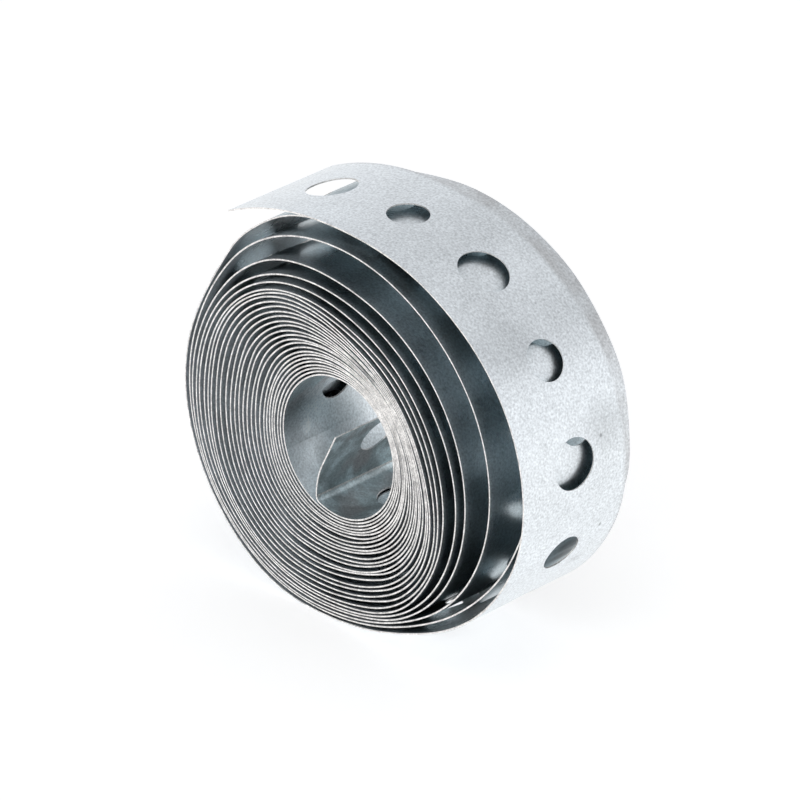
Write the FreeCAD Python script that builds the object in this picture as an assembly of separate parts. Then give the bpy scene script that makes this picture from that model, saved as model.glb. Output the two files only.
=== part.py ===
"""A roll of perforated steel strap: one thin galvanised strip, wound on itself and standing on its rim.

The strip is 18 mm wide. Its middle line is a spiral of 27.66 turns round a bore of about 19 mm. The turns lie
pressed together on the right of the bore and open out towards the lower left, and the outermost ones stand
loose on the right, where the one under the outermost has slipped a little to the back. The outer end is cut
square and springs away from the roll. The inner end is a short tab, bent up into the bore. Round holes, large
and small by turns, run along the whole strip.

Axes: X to the right, Y along the roll's axis and away from the front end, Z up. Millimetres.
The origin is under the middle of the roll, on the floor that it stands on.
"""
import math
import os

import FreeCAD
import Part

os.makedirs("parts", exist_ok=True)

# Strip
STRAP_WIDTH = 18.0
STRAP_THICKNESS = 0.2

# Holes, along the middle of the strip: the first is measured from the outer end, the last from the inner end.
# The places of the first few, from the outer end, are listed when the part is built.
LARGE_HOLE = 6.8
SMALL_HOLE = 5.5
HOLES = 220
FIRST_HOLE = 9.97
LAST_HOLE = 3.9
LISTED_HOLES = 12

# Inner tab: from its end it runs straight, then in a gentle curve, and a tight bend joins it to the winding
TAB_LENGTH = 5.4
TAB_LEAN = 63.5
TAB_CURVE_LENGTH = 4.9
TAB_CURVE_RADIUS = 10.9
TAB_BEND_RADIUS = 1.0

# Where the winding begins in the bore and where the outer end is, as directions seen from the front
START_DIRECTION = 249.2
END_DIRECTION = 127.0
LAST_TURN = 28

# The turn that has slipped back: by how much at the most, in which direction, and where it begins and ends
SLIP = 3.4
SLIP_TURN = 27
SLIP_MOST = 78.0
SLIP_FROM = -75.0
SLIP_TO = 160.0

# Distance of the strip's middle line from the axis: the least of the first turn and the most of the last
BORE_RADIUS = 9.44
ROLL_REACH = 33.2

# How the winding opens out: for some of the turns, counted from the bore, how much of the air in the roll
# lies inside them, in thousandths. The turns between two rows are spaced evenly.
# turn: down, then in steps of 30 degrees to the right, up, left and round to the bottom
WINDING = (
    (1, (14, 0, 2, 17, 31, 35, 27, 15, 16, 33, 53, 54)),
    (8, (96, 88, 79, 46, 45, 52, 71, 117, 144, 150, 195, 189)),
    (16, (272, 240, 191, 94, 60, 66, 120, 283, 387, 397, 458, 431)),
    (20, (394, 344, 262, 125, 76, 92, 179, 381, 517, 544, 607, 566)),
    (22, (444, 400, 307, 196, 158, 176, 241, 414, 545, 594, 638, 584)),
    (23, (465, 424, 322, 241, 209, 229, 310, 460, 573, 634, 665, 607)),
    (24, (480, 445, 397, 356, 330, 336, 391, 504, 599, 655, 692, 626)),
    (25, (495, 465, 448, 436, 443, 459, 492, 598, 633, 684, 704, 646)),
    (26, (511, 481, 554, 645, 717, 737, 739, 730, 680, 705, 709, 649)),
    (27, (522, 507, 646, 872, 942, 876, 807, 828, 705, 739, 730, 680)),
    (28, (542, 549, 730, 933, 1000, 932, 864, 940, 1109, 1261, 1446, 1428)),
)
AIR = ROLL_REACH - BORE_RADIUS - (LAST_TURN - 1) * STRAP_THICKNESS
COLUMNS = 12
COLUMN_DEGREES = 360.0 / COLUMNS
DOWN = 270.0


def table_radius(station):
    """Distance from the axis at a whole station; stations are one column apart, from the bore's bottom."""
    column = station % COLUMNS
    turn = 1 + station // COLUMNS
    low, high = WINDING[0], WINDING[1]
    for below, above in zip(WINDING, WINDING[1:]):
        if turn >= below[0]:
            low, high = below, above
    part = (turn - low[0]) / (high[0] - low[0])
    share = low[1][column] + part * (high[1][column] - low[1][column])
    return BORE_RADIUS + (turn - 1) * STRAP_THICKNESS + AIR * share / 1000.0


# The few stations before the first turn's bottom carry the spiral on inwards
RADII = {k: table_radius(k) for k in range(-3, COLUMNS * LAST_TURN)}


def middle(s):
    """Point of the middle line and its derivative, s stations after the bottom of the first turn."""
    k = math.floor(s)
    u = s - k
    a, b, c, d = (RADII[k + i] for i in (-1, 0, 1, 2))
    r = b + 0.5 * u * (c - a + u * (2 * a - 5 * b + 4 * c - d + u * (3 * (b - c) + d - a)))
    dr = 0.5 * (c - a + u * (2 * (2 * a - 5 * b + 4 * c - d) + 3 * u * (3 * (b - c) + d - a)))
    angle = math.radians(DOWN + COLUMN_DEGREES * s)
    step = math.radians(COLUMN_DEGREES)
    cos, sin = math.cos(angle), math.sin(angle)
    return (r * cos, r * sin), (dr * cos - r * step * sin, dr * sin + r * step * cos)


def slip(s):
    """How far the strip has slipped back, s stations after the bottom of the first turn."""
    direction = DOWN - 360.0 + COLUMN_DEGREES * (s - COLUMNS * (SLIP_TURN - 1))
    spread = SLIP_TO - SLIP_MOST if direction > SLIP_MOST else SLIP_MOST - SLIP_FROM
    away = abs(direction - SLIP_MOST) / spread
    return SLIP * (1 + math.cos(math.pi * away)) / 2 if away < 1 else 0.0


# Length of the winding, in fine steps from the bore outwards
S_START = (START_DIRECTION - DOWN) / COLUMN_DEGREES
S_END = COLUMNS * (LAST_TURN - 1) + (END_DIRECTION + 360.0 - DOWN) / COLUMN_DEGREES
FINE = 20000
fine_s = [S_START + (S_END - S_START) * i / FINE for i in range(FINE + 1)]
fine_length = [0.0]
speed = math.hypot(*middle(fine_s[0])[1])
for s0, s1 in zip(fine_s, fine_s[1:]):
    next_speed = math.hypot(*middle(s1)[1])
    fine_length.append(fine_length[-1] + 0.5 * (speed + next_speed) * (s1 - s0))
    speed = next_speed
WOUND_LENGTH = fine_length[-1]


def station_at(length):
    """Station at a distance along the winding from its beginning in the bore."""
    low, high = 0, FINE
    while high - low > 1:
        half = (low + high) // 2
        if fine_length[half] <= length:
            low = half
        else:
            high = half
    share = (length - fine_length[low]) / (fine_length[high] - fine_length[low])
    return fine_s[low] + share * (fine_s[high] - fine_s[low])


def offset(point, heading, side):
    """Point beside the middle line: side is positive towards the outside of the roll."""
    return (point[0] + side * math.sin(heading), point[1] - side * math.cos(heading))


def vector(point):
    return FreeCAD.Vector(point[0], -STRAP_WIDTH / 2, point[1])


def arc_pair(a, heading_a, b, heading_b):
    """Two arcs that leave a and reach b in the given headings, as (start, heading, end, heading, radius)."""
    turn = (heading_b - heading_a) % (2 * math.pi)
    joint = heading_a + turn / 2
    ax = math.sin(joint) - math.sin(heading_a)
    az = math.cos(heading_a) - math.cos(joint)
    bx = math.sin(heading_b) - math.sin(joint)
    bz = math.cos(joint) - math.cos(heading_b)
    dx, dz = b[0] - a[0], b[1] - a[1]
    det = ax * bz - az * bx
    first = (dx * bz - dz * bx) / det
    second = (ax * dz - az * dx) / det
    m = (a[0] + first * ax, a[1] + first * az)
    return ((a, heading_a, m, joint, first), (m, joint, b, heading_a + turn, second))


def arc_edge(arc, side):
    """Edge of one arc, moved sideways from the middle line."""
    a, heading_a, b, heading_b, radius = arc
    half = (heading_a + heading_b) / 2
    centre = (a[0] - radius * math.sin(heading_a), a[1] + radius * math.cos(heading_a))
    mid = (centre[0] + radius * math.sin(half), centre[1] - radius * math.cos(half))
    ends = (offset(a, heading_a, side), offset(mid, half, side), offset(b, heading_b, side))
    return Part.Arc(*(vector(p) for p in ends)).toShape()


def window(a, b, slip_a, slip_b):
    """Block that keeps the strip's width between a and b, moved back by a different amount at each end."""
    run = math.hypot(b[0] - a[0], b[1] - a[1])
    ex, ez = (b[0] - a[0]) / run, (b[1] - a[1]) / run
    spare = STRAP_THICKNESS / 2
    reach = LARGE_HOLE / 2

    def place(u, y):
        return FreeCAD.Vector(a[0] + u * ex + reach * ez, y, a[1] + u * ez - reach * ex)

    rims = []
    for side in (-STRAP_WIDTH / 2, STRAP_WIDTH / 2):
        rim = Part.BezierCurve()
        rim.setPoles([place(run * i / 5, side + (slip_a if i < 3 else slip_b)) for i in range(6)])
        rim.segment(-spare / run, 1 + spare / run)
        rims.append(rim.toShape())
    front, back = rims
    ends = [Part.makeLine(front.Vertexes[i].Point, back.Vertexes[i].Point) for i in (0, 1)]
    face = Part.Face(Part.Wire([front, ends[1], back, ends[0]]))
    return face.extrude(FreeCAD.Vector(-2 * reach * ez, 0, 2 * reach * ex))


def strip_piece(arcs, slip_in, slip_out):
    """Solid piece of strip along a run of arcs, slipped back by the given amounts at its two ends."""
    half = STRAP_THICKNESS / 2
    outside = [arc_edge(arc, half) for arc in arcs]
    inside = [arc_edge(arc, -half) for arc in arcs]
    first, last = arcs[0], arcs[-1]
    ends = []
    for point, heading in ((first[0], first[1]), (last[2], last[3])):
        ends.append(Part.makeLine(vector(offset(point, heading, -half)), vector(offset(point, heading, half))))
    face = Part.Face(Part.Wire(Part.__sortEdges__(outside + inside + ends)))
    if slip_in == slip_out:
        return face.extrude(FreeCAD.Vector(0, STRAP_WIDTH, 0))
    face.translate(FreeCAD.Vector(0, -SLIP, 0))
    piece = face.extrude(FreeCAD.Vector(0, STRAP_WIDTH + 3 * SLIP, 0))
    return piece.common(window(first[0], last[2], slip_in, slip_out)).Solids[0]


def hole_tool(point, heading, diameter, back=0.0):
    """Cylinder through the strip, square to it at the given point and moved back by the given amount."""
    out = FreeCAD.Vector(math.sin(heading), 0, -math.cos(heading))
    reach = LARGE_HOLE / 2
    base = FreeCAD.Vector(point[0], back, point[1]) - out * reach
    return Part.makeCylinder(diameter / 2, 2 * reach, base, out)


def faces_but(joints, solid):
    """Faces of a piece without the cross sections where it meets its neighbours."""
    kept = []
    for face in solid.Faces:
        centre = face.CenterOfMass
        if any(math.hypot(centre.x - p[0], centre.z - p[1]) < 1e-4 for p in joints):
            continue
        kept.append(face)
    return kept


def arc_before(b, heading_b, radius, turn):
    """Arc that turns by the given angle and reaches b in the given heading."""
    heading_a = heading_b - turn
    centre = (b[0] - radius * math.sin(heading_b), b[1] + radius * math.cos(heading_b))
    a = (centre[0] + radius * math.sin(heading_a), centre[1] - radius * math.cos(heading_a))
    return (a, heading_a, b, heading_b, radius)


# Inner tab, from the beginning of the winding back to its free end
start, along = middle(S_START)
start_heading = math.atan2(along[1], along[0])
end_heading = math.radians(TAB_LEAN - 180.0)
curve = TAB_CURVE_LENGTH / TAB_CURVE_RADIUS
bend = start_heading - end_heading - curve
bend_arc = arc_before(start, start_heading, TAB_BEND_RADIUS, bend)
curve_arc = arc_before(bend_arc[0], bend_arc[1], TAB_CURVE_RADIUS, curve)
knee = curve_arc[0]
end = (knee[0] - TAB_LENGTH * math.cos(end_heading), knee[1] - TAB_LENGTH * math.sin(end_heading))
tab_run = TAB_LENGTH + TAB_CURVE_LENGTH + TAB_BEND_RADIUS * bend

# Holes: evenly spaced, each as its distance from the beginning of the winding and its diameter
length = WOUND_LENGTH + tab_run
pitch = (length - FIRST_HOLE - LAST_HOLE) / (HOLES - 1)
holes = []
for n in range(HOLES):
    holes.append((WOUND_LENGTH - FIRST_HOLE - n * pitch, LARGE_HOLE if n % 2 == 0 else SMALL_HOLE))
wound = [hole for hole in holes if hole[0] > 0]
past = [hole for hole in holes if hole[0] <= 0]

# Winding: one piece of strip for each hole, cut half way to the next
cuts = [WOUND_LENGTH] + [(a[0] + b[0]) / 2 for a, b in zip(wound, wound[1:])] + [0.0]
ends = []
slips = []
for cut in cuts:
    point, along = middle(station_at(cut))
    ends.append((point, math.atan2(along[1], along[0])))
    slips.append(slip(station_at(cut)))
faces = []
places = []
for n, (where, diameter) in enumerate(wound):
    arcs = arc_pair(*ends[n + 1], *ends[n])
    piece = strip_piece(arcs, slips[n + 1], slips[n])
    point, along = middle(station_at(where))
    heading = math.atan2(along[1], along[0])
    places.append((point, heading, diameter))
    piece = piece.cut(hole_tool(point, heading, diameter, (slips[n + 1] + slips[n]) / 2))
    faces += faces_but([ends[n + 1][0]] if n == 0 else [ends[n + 1][0], ends[n][0]], piece)

# Tab
half = STRAP_THICKNESS / 2
end_out, end_in = (vector(offset(end, end_heading, side)) for side in (half, -half))
knee_out, knee_in = (vector(offset(knee, end_heading, side)) for side in (half, -half))
start_out, start_in = (vector(offset(start, start_heading, side)) for side in (half, -half))
outline = [
    Part.makeLine(end_in, end_out),
    Part.makeLine(end_out, knee_out),
    arc_edge(curve_arc, half),
    arc_edge(bend_arc, half),
    Part.makeLine(start_out, start_in),
    arc_edge(bend_arc, -half),
    arc_edge(curve_arc, -half),
    Part.makeLine(knee_in, end_in),
]
tab = Part.Face(Part.Wire(outline)).extrude(FreeCAD.Vector(0, STRAP_WIDTH, 0))
for where, diameter in past:
    run = tab_run + where
    point = (end[0] + run * math.cos(end_heading), end[1] + run * math.sin(end_heading))
    tab = tab.cut(hole_tool(point, end_heading, diameter))
faces += faces_but([start], tab)

# One closed solid, standing on the floor over the origin
skin = Part.makeCompound(faces)
skin.sewShape(1e-5)
strap = Part.makeSolid(skin.Shells[0])
if strap.Volume < 0:
    strap.reverse()
box = strap.BoundBox
strap.translate(FreeCAD.Vector(-box.Center.x, -box.Center.y, -box.ZMin))
strap.exportStep("parts/strap.step")

print("length %.1f mm, pitch %.3f mm, holes %d and %d" % (length, pitch, len(wound), len(past)))
print("shells %d, faces %d, valid %s" % (len(skin.Shells), len(strap.Faces), strap.isValid()))
print("volume %.1f mm3, box %s" % (strap.Volume, strap.BoundBox))
print("axis of the roll at x %.3f, z %.3f" % (-box.Center.x, -box.ZMin))
print("middle of the strip's width at y %.3f" % -box.Center.y)
print("tab's free end at %.3f, %.3f from the axis" % end)
for n, (point, heading, diameter) in enumerate(places[:LISTED_HOLES]):
    values = (n, point[0] - box.Center.x, point[1] - box.ZMin, math.sin(heading), -math.cos(heading), diameter)
    print("hole %d at x %.3f z %.3f out %.5f %.5f diameter %.1f" % values)
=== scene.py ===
# %% [markdown]
# A roll of perforated steel strap stands on its rim on a pale floor. The strap is one solid from the
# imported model, and its shape is right as it is, so nothing here is modelled over it. What this script
# adds is its finish, worked out from the place and the direction of each point of its surface, and the
# floor, the light and the camera. Lengths are in metres.

import bpy
import numpy as np
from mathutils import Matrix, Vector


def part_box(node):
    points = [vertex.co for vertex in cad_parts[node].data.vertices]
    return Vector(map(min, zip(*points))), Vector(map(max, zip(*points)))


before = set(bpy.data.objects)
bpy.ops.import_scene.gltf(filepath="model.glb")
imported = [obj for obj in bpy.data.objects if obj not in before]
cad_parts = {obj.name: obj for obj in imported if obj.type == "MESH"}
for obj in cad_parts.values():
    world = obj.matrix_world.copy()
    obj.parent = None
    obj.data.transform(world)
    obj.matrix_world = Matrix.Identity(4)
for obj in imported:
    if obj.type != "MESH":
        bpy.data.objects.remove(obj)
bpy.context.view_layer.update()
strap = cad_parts["strap"]
low, high = (np.array(corner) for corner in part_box("strap"))
print("strap, mm:", (1000 * (high - low)).round(2))

# %% [markdown]
# The roll is wound about an axis that runs along Y, a little to the left of the middle of its box because
# the outer end springs away. The finish, the light and the camera are all set out from that axis. Along Y
# its middle is the middle of the strap's width, which starts at the front of the box. The bore is the
# round space that the innermost turn leaves. Its radius is taken a little small, so that the turn lies
# wholly outside it.

# %% The roll's axis
STRAP_HALF_WIDTH = 0.009
AXIS_X = -0.002073
AXIS_Y = float(low[1]) + STRAP_HALF_WIDTH
AXIS_Z = 0.025248
BORE_RADIUS = 0.0092
MIDDLE = np.array([AXIS_X, AXIS_Y, AXIS_Z])
print("middle of the roll, mm:", (1000 * MIDDLE).round(2))

# %% [markdown]
# Small helpers keep the material cells short. A node is added with its settings and its inputs in one
# call, where an input is either a plain value or the socket that feeds it.


# %% Nodes
def add(tree, kind, inputs=(), **settings):
    """Adds a node: its settings by name, then its inputs by index or name, each a value or a socket."""
    node = tree.nodes.new(kind)
    for name, value in settings.items():
        setattr(node, name, value)
    for key, value in dict(inputs).items():
        if isinstance(value, bpy.types.NodeSocket):
            tree.links.new(value, node.inputs[key])
        else:
            node.inputs[key].default_value = value
    return node


def maths(tree, operation, a, b=0.0):
    """One sum on two values."""
    return add(tree, "ShaderNodeMath", {0: a, 1: b}, operation=operation).outputs[0]


def ramp(tree, value, lowest, highest, to_low=0.0, to_high=1.0):
    """Value from lowest to highest carried smoothly onto the range from to_low to to_high."""
    inputs = {"Value": value, "From Min": lowest, "From Max": highest, "To Min": to_low, "To Max": to_high}
    return add(tree, "ShaderNodeMapRange", inputs, interpolation_type="SMOOTHSTEP").outputs["Result"]


# %% [markdown]
# Colours are laid over each other in two ways: one is mixed into the other by a mask, or one darkens the
# other by being multiplied with it, as a stain or a shadow of dirt does. A grey is one value used for all
# three parts of a colour.


# %% Colours
def blend(tree, share, a, b, way="MIX"):
    """Colour a, with colour b laid over it by a share from 0 to 1."""
    node = add(tree, "ShaderNodeMix", {0: share, 6: a, 7: b}, data_type="RGBA", blend_type=way)
    return node.outputs[2]


def shaded(tree, colour, shade, share=1.0):
    """Colour multiplied by a shade, fully or by a share from 0 to 1."""
    return blend(tree, share, colour, shade, "MULTIPLY")


def grey(tree, value):
    """Colour without a hue, as light as the value."""
    return add(tree, "ShaderNodeCombineColor", {0: value, 1: value, 2: value}).outputs[0]


# %% [markdown]
# Every mask and pattern starts from the strap's own coordinates, so it stays where it is on the strap from
# every side. Three things are asked of a point: where it is, which way it lies from the roll's axis and how
# far, and how nearly two directions run along one line.


# %% Places and directions
def place_of(tree):
    """Object coordinates of the point."""
    return tree.nodes.new("ShaderNodeTexCoord").outputs["Object"]


def from_axis(tree):
    """Line from the roll's axis to the point, square to the axis, and the length of that line."""
    axis = {0: place_of(tree), 1: (AXIS_X, 0.0, AXIS_Z)}
    line = add(tree, "ShaderNodeVectorMath", axis, operation="SUBTRACT").outputs[0]
    flat = {0: line, 1: (1.0, 0.0, 1.0)}
    line = add(tree, "ShaderNodeVectorMath", flat, operation="MULTIPLY").outputs[0]
    distance = add(tree, "ShaderNodeVectorMath", {0: line}, operation="LENGTH").outputs["Value"]
    return line, distance


def alignment(tree, a, b):
    """How nearly two directions run along one line, from 0 to 1: the size of their dot product."""
    dot = add(tree, "ShaderNodeVectorMath", {0: a, 1: b}, operation="DOT_PRODUCT").outputs["Value"]
    return maths(tree, "ABSOLUTE", dot)


# %% [markdown]
# Galvanised steel is steel strip dipped in zinc. From near, the zinc is a pale grey with a cast of blue,
# covered with fine speckle, and over some millimetres it turns lighter and darker in soft clouds. The two
# are noise patterns of very different scale. They are one node group with the two sizes as its inputs,
# because the cut edges use the same grain at smaller sizes. Noise runs from 0 to 1 about a half, so the
# half is taken off, and what comes out lightens and darkens about nothing.

# %% Zinc speckle and clouds
SPECKLE_DETAIL = 2.0
CLOUD_DETAIL = 3.0
NOISE_MIDDLE = 0.5


def zinc_group():
    """Node group: noise at two scales, put out as a speckle, a cloud and the speckle's height."""
    group = bpy.data.node_groups.new("zinc_bloom", "ShaderNodeTree")
    face = group.interface
    for name in ("Speckle Size", "Cloud Size"):
        face.new_socket(name, in_out="INPUT", socket_type="NodeSocketFloat")
    for name in ("Speckle", "Cloud", "Height"):
        face.new_socket(name, in_out="OUTPUT", socket_type="NodeSocketFloat")
    source = group.nodes.new("NodeGroupInput")
    result = group.nodes.new("NodeGroupOutput")
    place = place_of(group)

    speckle_scale = maths(group, "DIVIDE", 1.0, source.outputs["Speckle Size"])
    cloud_scale = maths(group, "DIVIDE", 1.0, source.outputs["Cloud Size"])
    fine = {"Vector": place, "Scale": speckle_scale, "Detail": SPECKLE_DETAIL}
    coarse = {"Vector": place, "Scale": cloud_scale, "Detail": CLOUD_DETAIL}
    speckle = add(group, "ShaderNodeTexNoise", fine).outputs[0]
    cloud = add(group, "ShaderNodeTexNoise", coarse).outputs[0]
    group.links.new(maths(group, "SUBTRACT", speckle, NOISE_MIDDLE), result.inputs["Speckle"])
    group.links.new(maths(group, "SUBTRACT", cloud, NOISE_MIDDLE), result.inputs["Cloud"])
    group.links.new(speckle, result.inputs["Height"])
    return group


zinc_bloom = zinc_group()
print("group:", zinc_bloom.name, len(zinc_bloom.nodes), "nodes")


def place_bloom(tree, speckle_size, cloud_size):
    """The zinc group placed in a material with its own two sizes."""
    sizes = {"Speckle Size": speckle_size, "Cloud Size": cloud_size}
    return add(tree, "ShaderNodeGroup", sizes, node_tree=zinc_bloom)


# %% [markdown]
# The strap was slit from a wider sheet and the holes were punched, so the thin edges aren't zinc but cut
# steel, lighter and less blue. They could be painted face by face, but on the wound strip an edge shows by
# its direction alone: it is where the surface doesn't face along the line from the roll's axis. That is so
# at the two rims, at the square outer end and round the wall of each hole. The tab stands across the bore,
# so inside the bore only the rims and the tab's square end count. Each pair of numbers is the alignment from
# which a direction starts to count and the one from which it counts in full.

# %% Cut edges
TAB_LEAN = np.radians(63.5)
TAB_END_REACH = 0.003
FACES_THE_AXIS = (0.55, 0.75)
FACES_ALONG_Y = (0.6, 0.8)
FACES_ALONG_THE_TAB = (0.85, 0.95)
ALONG_Y = (0.0, 1.0, 0.0)
ALONG_THE_TAB = (np.cos(TAB_LEAN), 0.0, np.sin(TAB_LEAN))


def cut_edge_mask(tree):
    """1 on cut edges and 0 on the zinc, from which way the surface faces and how far from the axis it is."""
    normal = tree.nodes.new("ShaderNodeTexCoord").outputs["Normal"]
    line, distance = from_axis(tree)
    ray = add(tree, "ShaderNodeVectorMath", {0: line}, operation="NORMALIZE").outputs[0]
    turned = ramp(tree, alignment(tree, ray, normal), *FACES_THE_AXIS, 1.0, 0.0)
    turned = maths(tree, "MULTIPLY", turned, maths(tree, "GREATER_THAN", distance, BORE_RADIUS))
    rim = ramp(tree, alignment(tree, normal, ALONG_Y), *FACES_ALONG_Y)
    tab_end = ramp(tree, alignment(tree, normal, ALONG_THE_TAB), *FACES_ALONG_THE_TAB)
    tab_end = maths(tree, "MULTIPLY", tab_end, maths(tree, "LESS_THAN", distance, TAB_END_REACH))
    return maths(tree, "MAXIMUM", maths(tree, "MAXIMUM", rim, tab_end), turned)


print("the tab's end faces:", np.round(ALONG_THE_TAB, 2))

# %% [markdown]
# The face of the bore rubbed on the winding machine's spindle. Its zinc is duller than the rest, with
# dark stains, slightly green or brown, and it is darker towards the bottom, where the stains run together.
# The stains and their casts are noise patterns with soft edges. The height above or below the axis is added
# to the noise before it is cut off, so the same blotches grow downwards. The stains are kept to the first
# turn and the tab by the distance from the axis.

# %% Stains in the bore
BORE_FADE = 0.0004
BORE_FACE_ENDS = (BORE_RADIUS + BORE_FADE, BORE_RADIUS + 2 * BORE_FADE)
STAIN_SIZE = 0.0035
STAIN_DETAIL = 4.0
STAIN_EDGE = (0.42, 0.66)
STAIN_DEPTH = 0.45
STAIN_HEIGHTS = (-0.006, 0.006)
DARKER_DOWNWARDS = (0.1, -0.08)
CAST_SIZE = 2 * STAIN_SIZE
CAST_DETAIL = 2.0
CAST_EDGE = (0.5, 0.62)
GREEN_CAST = (0.92, 1.0, 1.0, 1.0)
BROWN_CAST = (1.0, 0.96, 0.94, 1.0)


def soft_noise(tree, size, detail):
    """Noise on the strap's own coordinates, from 0 to 1, with features of about the size given."""
    inputs = {"Vector": place_of(tree), "Scale": 1.0 / size, "Detail": detail}
    return add(tree, "ShaderNodeTexNoise", inputs).outputs[0]


def bore_stain(tree):
    """Mask of the bore's face, and the shade that its stains lay over the zinc."""
    line, distance = from_axis(tree)
    inside = ramp(tree, distance, *BORE_FACE_ENDS, 1.0, 0.0)
    height = add(tree, "ShaderNodeSeparateXYZ", {0: line}).outputs["Z"]
    # The bore is made darker towards the bottom.
    darker_downwards = ramp(tree, height, *STAIN_HEIGHTS, *DARKER_DOWNWARDS)
    blotch = maths(tree, "ADD", soft_noise(tree, STAIN_SIZE, STAIN_DETAIL), darker_downwards)
    light = maths(tree, "SUBTRACT", 1.0, ramp(tree, blotch, *STAIN_EDGE, 0.0, STAIN_DEPTH))
    brown = ramp(tree, soft_noise(tree, CAST_SIZE, CAST_DETAIL), *CAST_EDGE)
    return inside, shaded(tree, grey(tree, light), blend(tree, brown, GREEN_CAST, BROWN_CAST))


print("bore's face, mm from the axis:", [round(1000 * reach, 1) for reach in BORE_FACE_ENDS])

# %% [markdown]
# Handling has left a few marks, and some shade and light are painted on as marks, where noise can't put
# them in the right place. Each is an ellipsoid round a point of the strap, given in millimetres from the
# roll's middle: inside it the zinc is darker by a share, or lighter where the share is below 0, with a soft
# edge. The specks and scratches are marks of handling. Under the sixth hole two marks are painted shade in
# the gap, the front edge has a painted darker reflection, and the bore has painted light on its left wall.
# Dividing the way to the point by the three half sizes makes every ellipsoid a ball of radius 1, so one ramp
# on the distance serves them all.

# %% Marks of handling, painted shade and painted light
MARKS = (
    ("speck high on the right", (31.8, 4.9, 8.9), (0.6, 0.35, 0.35), 0.5),
    ("speck low on the right", (31.0, 5.8, -4.2), (0.6, 0.3, 0.45), 0.5),
    ("scratch in front of the first hole", (-5.5, -4.3, 30.5), (0.8, 0.4, 1.0), 0.15),
    ("scratch at the front edge", (3.9, -6.9, 30.7), (1.6, 0.3, 1.0), 0.15),
    # Painted shade in the gap under the sixth hole.
    ("painted shade under the sixth hole", (27.4, 4.2, -7.9), (1.6, 3.5, 2.8), 0.8),
    ("painted shade lower under the sixth hole", (25.8, 4.5, -9.9), (1.5, 3.5, 2.2), 0.8),
    # Painted darker reflection of the surround at the front edge.
    ("painted darker reflection at the front edge", (24.3, -4.3, 21.6), (6.0, 6.0, 5.0), 0.12),
    ("darker patch at the back edge", (31.5, 5.9, 10.0), (6.0, 5.0, 4.5), 0.14),
    ("dark patch in the bore", (-7.6, -3.6, -5.5), (2.6, 2.2, 3.0), 0.35),
    # Painted light on the bore's left wall.
    ("painted light spot in the bore", (-9.2, -5.1, -2.0), (1.6, 1.5, 1.8), -0.35),
    ("painted light patch in the bore", (-9.0, -3.5, 1.0), (3.0, 5.0, 5.5), -0.35),
)
MILLIMETRE = 0.001
MARK_CORE = 0.3


def mark_shade(tree):
    """Grey that darkens or lightens the zinc at each mark."""
    place = place_of(tree)
    value = 1.0
    for name, spot, half_sizes, depth in MARKS:
        middle = tuple(MIDDLE + np.array(spot) * MILLIMETRE)
        away = {0: place, 1: middle}
        line = add(tree, "ShaderNodeVectorMath", away, operation="SUBTRACT", label=name).outputs[0]
        shrink = tuple(1.0 / (side * MILLIMETRE) for side in half_sizes)
        line = add(tree, "ShaderNodeVectorMath", {0: line, 1: shrink}, operation="MULTIPLY").outputs[0]
        distance = add(tree, "ShaderNodeVectorMath", {0: line}, operation="LENGTH").outputs["Value"]
        value = maths(tree, "MULTIPLY", value, ramp(tree, distance, MARK_CORE, 1.0, 1.0 - depth, 1.0))
    return grey(tree, value)


print("marks:", len(MARKS))

# %% [markdown]
# Where the turns lie close under each other, the zinc is painted darker and bluer: this is painted shade
# in the narrow gaps, while the open faces keep the pale zinc. Ambient occlusion tells the two apart: over a
# few millimetres it is 1 on an open face and falls in a narrow gap. The bore is narrow as well, but its face
# gets less of the painted shade, so it counts as open from a lower value on.

# %% Open faces, and painted shade in the gaps
GAP_REACH = 0.009
GAP_SAMPLES = 8
OPEN_FACE = (0.24, 0.8)
OPEN_BORE = (0.12, 0.7)


def opened_mask(tree, inside):
    """1 on the open faces and 0 in the gaps between the turns, where the shade is painted."""
    reach = {"Distance": GAP_REACH}
    occlusion = add(tree, "ShaderNodeAmbientOcclusion", reach, samples=GAP_SAMPLES, only_local=True)
    openness = occlusion.outputs["AO"]
    in_bore = maths(tree, "MULTIPLY", inside, ramp(tree, openness, *OPEN_BORE))
    return maths(tree, "MAXIMUM", ramp(tree, openness, *OPEN_FACE), in_bore)


print("gaps are felt over, mm:", 1000 * GAP_REACH)

# %% [markdown]
# Next to the two rims, where light reaches into the gaps, the painted shade is left off: a narrow margin of
# each covered face is painted as light as the open faces, and it is duller. On the roll's left the margin is
# wider and partly a dull white oxide, which isn't metal. Both come from the distance from the middle of the
# strap's width, and the left side from the distance from the axis along X.

# %% Margins beside the rims, painted light and partly oxide
UNSHADED_MARGIN = 0.0009
LEFT_OXIDE_MARGIN = 0.0025
LEFT_OXIDE_FROM = 0.003
LEFT_OXIDE_TO = 0.012
LEFT_OXIDE_SHARE = 0.7


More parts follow.
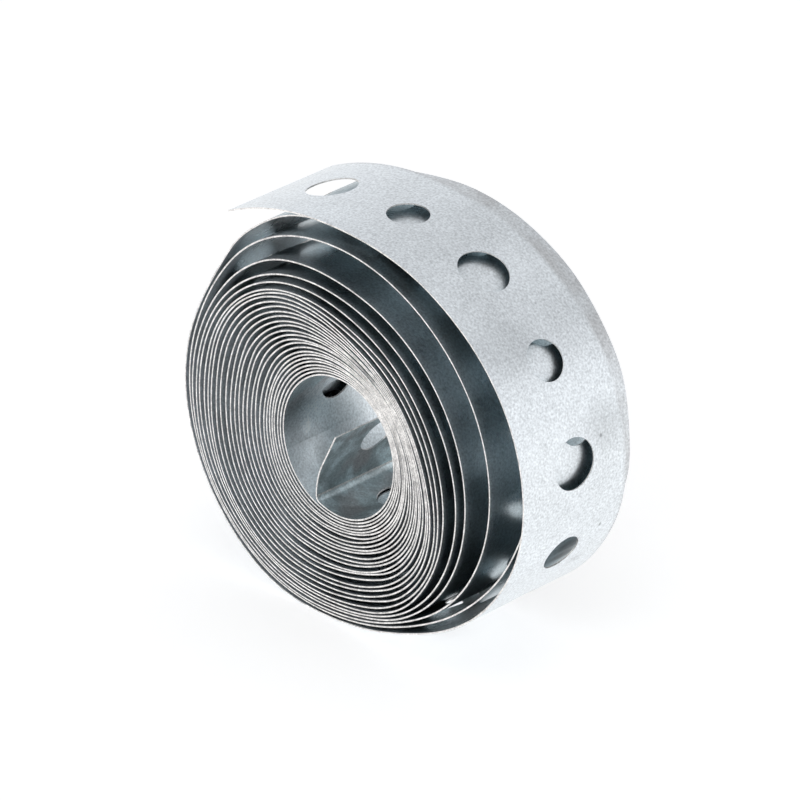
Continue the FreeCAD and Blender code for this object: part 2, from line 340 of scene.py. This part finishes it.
def unshaded_margin_masks(tree, covered):
    """Margins beside the rims, free of the painted shade, and their wider oxide part on the left."""
    parts = add(tree, "ShaderNodeSeparateXYZ", {0: place_of(tree)})
    aside = maths(tree, "ABSOLUTE", maths(tree, "SUBTRACT", parts.outputs["Y"], AXIS_Y))
    narrow = ramp(tree, aside, STRAP_HALF_WIDTH - UNSHADED_MARGIN, STRAP_HALF_WIDTH)
    wide = ramp(tree, aside, STRAP_HALF_WIDTH - LEFT_OXIDE_MARGIN, STRAP_HALF_WIDTH - UNSHADED_MARGIN)
    left = ramp(tree, parts.outputs["X"], AXIS_X - LEFT_OXIDE_TO, AXIS_X - LEFT_OXIDE_FROM, LEFT_OXIDE_SHARE, 0.0)
    left_oxide_margin = maths(tree, "MULTIPLY", maths(tree, "MULTIPLY", wide, left), covered)
    dull_unshaded_margin = maths(tree, "MULTIPLY", maths(tree, "MAXIMUM", narrow, left_oxide_margin), covered)
    return dull_unshaded_margin, left_oxide_margin


print("margins, mm:", 1000 * UNSHADED_MARGIN, 1000 * LEFT_OXIDE_MARGIN)

# %% [markdown]
# At the back, the turn that has slipped stands out behind the others. That strip of it and the back edge of
# the outermost turn are darkened in patches with a brownish grey: partly wear of the zinc at the edge, and
# partly painted shade that the outermost turn's back edge throws on the turn beneath. It shows as a darker
# line along the upper right, where the two back edges lie side by side. The darkening is a mask on the place
# along Y, made patchy by the clouds of the zinc.

# %% Wear and painted shade along the back edge
# Brownish grey of the worn back edge, partly painted shade.
BACK_WEAR_AND_SHADE = (0.72, 0.7, 0.69, 1.0)
WEAR_AND_SHADE_STARTS = (0.0082, 0.0092)
WEAR_AND_SHADE_CLOUDS = (-0.15, 0.15)
WEAR_AND_SHADE_LEAST = 0.3


def back_wear_and_shade(tree, clouds):
    """Share of the back darkening: full behind the other turns' width and falling to 0 a little before it.
    """
    y = add(tree, "ShaderNodeSeparateXYZ", {0: place_of(tree)}).outputs["Y"]
    behind = ramp(tree, maths(tree, "SUBTRACT", y, AXIS_Y), *WEAR_AND_SHADE_STARTS)
    return maths(tree, "MULTIPLY", behind, ramp(tree, clouds, *WEAR_AND_SHADE_CLOUDS, WEAR_AND_SHADE_LEAST, 1.0))


print("back darkening starts, mm behind the middle:", [round(1000 * start, 1) for start in WEAR_AND_SHADE_STARTS])

# %% [markdown]
# The zinc's colour is built in layers, from the metal outwards: the open grey, or the darker grey that is
# painted shade in the gaps, then the speckle and the clouds, then the stains, the marks, among them painted
# shade and painted light, and the back edge's darkening, which is partly painted shade. Each darkens what is
# under it, but the light marks lighten it.

# %% Colour of the zinc
OPEN_ZINC = (0.69, 0.725, 0.75, 1.0)
# The covered grey is painted shade: zinc in the gaps between the turns, darkened where little light goes.
GAP_SHADE_ZINC = (0.42, 0.49, 0.52, 1.0)
ZINC_SPECKLE_SIZE = 0.0003
ZINC_CLOUD_SIZE = 0.006
ZINC_CLOUD_STRENGTH = 0.25


def zinc_colour(tree, bloom, unshaded_share, inside, stain):
    """Colour of the galvanised faces from their masks and layers."""
    clouds = bloom.outputs["Cloud"]
    uneven = maths(tree, "MULTIPLY", clouds, ZINC_CLOUD_STRENGTH)
    light = maths(tree, "ADD", maths(tree, "ADD", bloom.outputs["Speckle"], uneven), 1.0)
    zinc = blend(tree, unshaded_share, GAP_SHADE_ZINC, OPEN_ZINC)
    zinc = shaded(tree, zinc, grey(tree, light))
    zinc = shaded(tree, zinc, stain, inside)
    zinc = shaded(tree, zinc, mark_shade(tree))
    return shaded(tree, zinc, BACK_WEAR_AND_SHADE, back_wear_and_shade(tree, clouds))


print("open and covered zinc:", OPEN_ZINC[:3], GAP_SHADE_ZINC[:3])

# %% [markdown]
# The cut edges are bare steel with a burr that catches the light in dots and short dashes. It is the same
# grain as the zinc's at smaller sizes and stronger, so that it shows on a rim only 0.2 mm wide.

# %% Colour of the cut steel
CUT_STEEL = (0.83, 0.81, 0.79, 1.0)
BURR_SPECKLE_SIZE = 0.0002
BURR_CLOUD_SIZE = 0.0012
BURR_SPECKLE_STRENGTH = 1.2
BURR_MIDDLE = 0.9


def steel_colour(tree):
    """Colour of the cut edges."""
    burr = place_bloom(tree, BURR_SPECKLE_SIZE, BURR_CLOUD_SIZE)
    dots = maths(tree, "MULTIPLY", burr.outputs["Speckle"], BURR_SPECKLE_STRENGTH)
    light = maths(tree, "ADD", maths(tree, "ADD", dots, BURR_MIDDLE), burr.outputs["Cloud"])
    return shaded(tree, CUT_STEEL, grey(tree, light))


print("cut steel:", CUT_STEEL[:3])

# %% [markdown]
# Zinc and steel differ in gloss as much as in colour. The clouds are also smoother and rougher places, so
# the mirrored light is uneven. The zinc of the covered faces is a little glossier than the open zinc. The
# bore, the margins beside the rims and the cut edges are duller.

# %% Roughness
CLOUD_SPAN = 0.3
SMOOTH_ZINC = 0.28
ROUGH_ZINC = 0.38
COVERED_GLOSS = 0.04
BORE_DULLNESS = 0.15
MARGIN_DULLNESS = 0.25
EDGE_ROUGHNESS = 0.45


def strap_roughness(tree, clouds, covered, inside, dull_unshaded_margin, edge):
    """Roughness from the clouds and from what each face has been through."""
    rough = ramp(tree, clouds, -CLOUD_SPAN, CLOUD_SPAN, SMOOTH_ZINC, ROUGH_ZINC)
    rough = maths(tree, "SUBTRACT", rough, maths(tree, "MULTIPLY", covered, COVERED_GLOSS))
    rough = maths(tree, "ADD", rough, maths(tree, "MULTIPLY", inside, BORE_DULLNESS))
    rough = maths(tree, "ADD", rough, maths(tree, "MULTIPLY", dull_unshaded_margin, MARGIN_DULLNESS))
    return maths(tree, "MAXIMUM", rough, maths(tree, "MULTIPLY", edge, EDGE_ROUGHNESS))


print("zinc's roughness:", SMOOTH_ZINC, "to", ROUGH_ZINC)

# %% [markdown]
# The metal is one Principled shader that takes the masks, colours and roughness of the cells above, with
# the painted shade of the gaps and the painted light of the margins in its colour. It is all metal apart
# from the dull oxide of the wider margins on the left. The speckle also feeds a faint bump, because the
# grain of zinc is felt as well as seen. The strap is thin and its faces and edges are one mesh, so one
# material with masks suits it better than several slots.

# %% Galvanised strap
OXIDE_SHARE = 0.5
BUMP_STRENGTH = 0.15
BUMP_HEIGHT = 0.00003

metal = bpy.data.materials.new("galvanised_strap")
metal.use_nodes = True
tree = metal.node_tree
shader = tree.nodes["Principled BSDF"]

bloom = place_bloom(tree, ZINC_SPECKLE_SIZE, ZINC_CLOUD_SIZE)
edge = cut_edge_mask(tree)
inside, stain = bore_stain(tree)
opened = opened_mask(tree, inside)
# The covered faces in the gaps get the painted shade.
covered = maths(tree, "SUBTRACT", 1.0, opened)
# Beside the rims the painted shade is left off: painted light in the margins.
dull_unshaded_margin, left_oxide_margin = unshaded_margin_masks(tree, covered)
unshaded_share = maths(tree, "MAXIMUM", opened, dull_unshaded_margin)

zinc = zinc_colour(tree, bloom, unshaded_share, inside, stain)
tree.links.new(blend(tree, edge, zinc, steel_colour(tree)), shader.inputs["Base Color"])
rough = strap_roughness(tree, bloom.outputs["Cloud"], covered, inside, dull_unshaded_margin, edge)
tree.links.new(rough, shader.inputs["Roughness"])
oxide = maths(tree, "MULTIPLY", left_oxide_margin, maths(tree, "SUBTRACT", 1.0, edge))
metallic = maths(tree, "SUBTRACT", 1.0, maths(tree, "MULTIPLY", oxide, OXIDE_SHARE))
tree.links.new(metallic, shader.inputs["Metallic"])
grain = {"Strength": BUMP_STRENGTH, "Distance": BUMP_HEIGHT, "Height": bloom.outputs["Height"]}
tree.links.new(add(tree, "ShaderNodeBump", grain).outputs[0], shader.inputs["Normal"])

for slot in strap.material_slots:
    slot.material = metal
print("material:", metal.name, len(tree.nodes), "nodes")

# %% [markdown]
# The floor is a large pale plane. The camera sees it white, and the metal reflects nearly that white, so
# its shader adds a white glow for camera and glossy rays on top of a pale matt surface that keeps the
# shadow under the roll. Rays of scattered light see only the matt surface, so the glow lights nothing.

# %% Floor
FLOOR_HALF = 3.0
FLOOR_SHADE = (0.8, 0.8, 0.8, 1.0)
WHITE = (1.0, 1.0, 1.0, 1.0)
FLOOR_GLOW_SEEN = 0.5
FLOOR_GLOW_MIRRORED = 0.66

corners = np.array([(-1, -1, 0), (1, -1, 0), (1, 1, 0), (-1, 1, 0)], float) * FLOOR_HALF
floor_mesh = bpy.data.meshes.new("floor")
floor_mesh.from_pydata(corners.tolist(), [], [(0, 1, 2, 3)])
floor = bpy.data.objects.new("floor", floor_mesh)
bpy.context.scene.collection.objects.link(floor)

paper = bpy.data.materials.new("pale_floor")
paper.use_nodes = True
tree = paper.node_tree
shader = tree.nodes["Principled BSDF"]
shader.inputs["Base Color"].default_value = FLOOR_SHADE
shader.inputs["Roughness"].default_value = 1.0
shader.inputs["Specular IOR Level"].default_value = 0.0
shader.inputs["Emission Color"].default_value = WHITE
path = tree.nodes.new("ShaderNodeLightPath")
seen = maths(tree, "MULTIPLY", path.outputs["Is Camera Ray"], FLOOR_GLOW_SEEN)
mirrored = maths(tree, "MULTIPLY", path.outputs["Is Glossy Ray"], FLOOR_GLOW_MIRRORED)
tree.links.new(maths(tree, "MAXIMUM", seen, mirrored), shader.inputs["Emission Strength"])
floor_mesh.materials.append(paper)
print("floor, m across:", 2 * FLOOR_HALF)

# %% [markdown]
# Metal shows what is round it, so the surround matters more than the lamps. It is an even, pale world that
# the camera sees white. In the metal it is mirrored a little darker overhead than at the sides, which gives
# the top of the roll its shade, and as scattered light it is only half as strong, so nothing clips.

# %% Surround
SKY = (0.97, 0.98, 1.0, 1.0)
SKY_HEIGHTS = (0.1, 0.7)
SKY_MIRRORED = (1.0, 0.82)
SKY_SCATTERED = 0.5

world = bpy.data.worlds.new("studio")
world.use_nodes = True
bpy.context.scene.world = world
tree = world.node_tree
background = tree.nodes["Background"]
path = tree.nodes.new("ShaderNodeLightPath")
toward = tree.nodes.new("ShaderNodeTexCoord").outputs["Generated"]
height = add(tree, "ShaderNodeSeparateXYZ", {0: toward}).outputs["Z"]
mirrored = ramp(tree, height, *SKY_HEIGHTS, *SKY_MIRRORED)
mirrored = maths(tree, "MULTIPLY", path.outputs["Is Glossy Ray"], mirrored)
lighting = maths(tree, "MAXIMUM", mirrored, SKY_SCATTERED)
strength = maths(tree, "MAXIMUM", path.outputs["Is Camera Ray"], lighting)
background.inputs["Color"].default_value = SKY
tree.links.new(strength, background.inputs["Strength"])
print("surround:", world.name, len(tree.nodes), "nodes")

# %% [markdown]
# Four soft square lamps, all aimed at the roll. One hangs above, and one lights the front and the bore. Two
# stand low behind the roll, one on each side: they are what the outer face mirrors at its right and at its
# sprung end, and they leave the dark crescents inside the far side of the holes.

# %% Lamps
LAMP_SIZE = 0.8
LAMPS = (
    ("lamp_above", (0.25, -0.1, 1.0), 2.0),
    ("lamp_front", (0.35, -1.0, 0.2), 2.5),
    ("lamp_back_right", (0.75, 0.6, 0.15), 0.5),
    ("lamp_back_left", (-0.8, 0.6, 0.2), 0.15),
)


def soft_lamp(name, place, watts):
    """Square area lamp at place, turned towards the middle of the roll."""
    data = bpy.data.lights.new(name, "AREA")
    data.size = LAMP_SIZE
    data.energy = watts
    item = bpy.data.objects.new(name, data)
    bpy.context.scene.collection.objects.link(item)
    item.location = place
    away = item.location.copy()
    away -= type(away)(MIDDLE)
    item.rotation_euler = away.to_track_quat("Z", "Y").to_euler()


for name, place, watts in LAMPS:
    soft_lamp(name, place, watts)
    print(name, watts, "W")

# %% [markdown]
# The camera stands to the front right and above, far off with a long lens, so the roll is drawn almost
# without perspective. Its azimuth, elevation and distance give the direction of view, and the point that
# it looks at, a little to the right of and above the roll's axis, places the roll in the image. The lens is
# given in pixels of the 800 pixel wide image and turned into millimetres on the sensor.

# %% Camera
AZIMUTH = np.radians(45.522)
ELEVATION = np.radians(28.179)
DISTANCE = 0.85
TARGET_RIGHT = 0.001693
TARGET_ABOVE = 0.004145
IMAGE_WIDTH = 800.0
LENS_PIXELS = 6795.0
SENSOR = 36.0
NEAREST = 0.05
FURTHEST = 20.0

target = MIDDLE + np.array([TARGET_RIGHT, 0.0, TARGET_ABOVE])
toward = np.array([
    np.sin(AZIMUTH) * np.cos(ELEVATION),
    -np.cos(AZIMUTH) * np.cos(ELEVATION),
    np.sin(ELEVATION),
])
camera_data = bpy.data.cameras.new("camera")
camera_data.sensor_width = SENSOR
camera_data.lens = LENS_PIXELS / IMAGE_WIDTH * SENSOR
camera_data.clip_start = NEAREST
camera_data.clip_end = FURTHEST
camera = bpy.data.objects.new("camera", camera_data)
bpy.context.scene.collection.objects.link(camera)
camera.location = target + DISTANCE * toward
camera.rotation_euler = (np.pi / 2 - ELEVATION, 0.0, AZIMUTH)
bpy.context.scene.camera = camera
bpy.context.scene.view_settings.view_transform = "Standard"
print("lens, mm:", round(camera_data.lens, 1))
